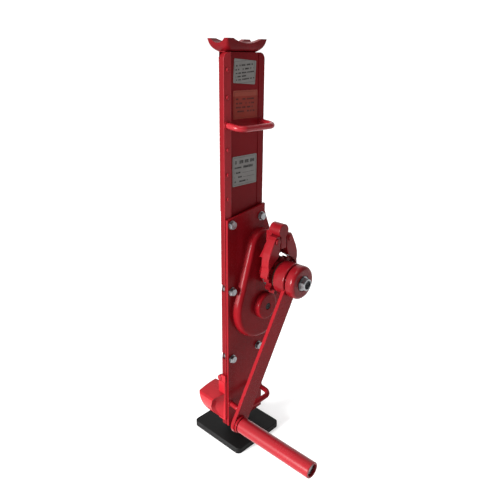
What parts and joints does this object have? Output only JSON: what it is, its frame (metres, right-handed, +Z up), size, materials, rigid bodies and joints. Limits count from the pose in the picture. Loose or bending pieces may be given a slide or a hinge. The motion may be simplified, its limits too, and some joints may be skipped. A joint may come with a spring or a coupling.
{
  "type": "toe jack",
  "caption": "Rack toe jack: a crank-driven housing with a horned crown and a side toe climbs a toothed rack on a flat foot.",
  "frame": {"origin": "centre of the foot plate's underside", "axes": "+Z up along the rack; the gear cover and crank face -Y; the toe points to -X"},
  "size_m": [0.2328, 0.3335, 0.755],
  "materials": {
    "red_paint": "gloss",
    "black_paint": "satin",
    "rack_steel": "oiled",
    "weld_steel": "satin",
    "zinc": "satin",
    "pin_steel": "satin",
    "gear_steel": "greased",
    "bronze": "satin",
    "cast": "rough",
    "brake_lining": "matte",
    "label_foil": "satin",
    "label_orange": "satin"
  },
  "bodies": {
    "base": {"foot_plate": "black_paint", "toothed_rack": "rack_steel", "rack_weld": "weld_steel", "foot_screws": "zinc", "rack_stop_pin": "rack_steel"},
    "housing": {"front_channel": "red_paint", "left_flange_strip": "red_paint", "right_flange_strip": "red_paint", "flange_rivets": "red_paint", "rear_casing": "red_paint", "top_plate": "red_paint", "pinion_case": "red_paint", "gear_cover": "red_paint", "gear_back_plate": "red_paint", "cover_bolts": "zinc", "cover_washers": "zinc", "cover_nuts": "zinc", "bearing_bushes": "bronze", "crank_bearing_block": "cast", "lower_rack_guide": "bronze", "upper_rack_guide": "bronze", "pawl_bracket": "red_paint", "bracket_screws": "zinc", "pawl_pins": "red_paint", "crown_head": "red_paint", "toe": "red_paint", "toe_bolt": "red_paint", "upper_handle": "red_paint", "lower_handle": "red_paint", "rating_label": "label_foil", "orange_label": "label_orange", "data_label": "label_foil"},
    "gear_shaft": {"rack_pinion_shaft": "gear_steel", "gear_key": "gear_steel", "large_gear": "gear_steel", "gear_collars": "gear_steel"},
    "crank": {"crank_shaft": "gear_steel", "ratchet_wheel": "red_paint", "friction_discs": "brake_lining", "crank_hub": "red_paint", "hub_cap": "red_paint", "lock_washer": "zinc", "lock_nut": "zinc", "crank_arm": "red_paint", "grip_spindle": "pin_steel", "grip_collar": "red_paint", "spindle_washer": "zinc"},
    "grip": {"grip_tube": "red_paint"},
    "pawl_left": {"left_pawl": "red_paint"},
    "pawl_right": {"right_pawl": "red_paint"}
  },
  "joints": [
    {"name": "lift", "type": "slide", "parent": "base", "child": "housing", "axis": [0, 0, 1], "range_m": [-0.02262, 0.32798]},
    {"name": "gear_turn", "type": "hinge", "parent": "housing", "child": "gear_shaft", "pos_m": [0.032, 0, 0.2855], "axis": [0, 1, 0], "range_deg": [-1260, 90]},
    {"name": "crank_turn", "type": "hinge", "parent": "housing", "child": "crank", "pos_m": [0.032, 0, 0.358], "axis": [0, 1, 0], "range_deg": [-545, 7835]},
    {"name": "grip_spin", "type": "hinge", "parent": "crank", "child": "grip", "pos_m": [-0.10402, 0, 0.12708], "axis": [0, 1, 0], "continuous": true},
    {"name": "left_pawl_swing", "type": "hinge", "parent": "housing", "child": "pawl_left", "pos_m": [0.0155, 0, 0.427], "axis": [0, 1, 0], "range_deg": [-3.2, 3]},
    {"name": "right_pawl_swing", "type": "hinge", "parent": "housing", "child": "pawl_right", "pos_m": [0.0485, 0, 0.427], "axis": [0, 1, 0], "range_deg": [-3, 3.2]}
  ],
  "couplings": [
    {"joint": "gear_turn", "follows": "lift", "rad_per_m": -66.667},
    {"joint": "crank_turn", "follows": "lift", "rad_per_m": 416.67}
  ]
}
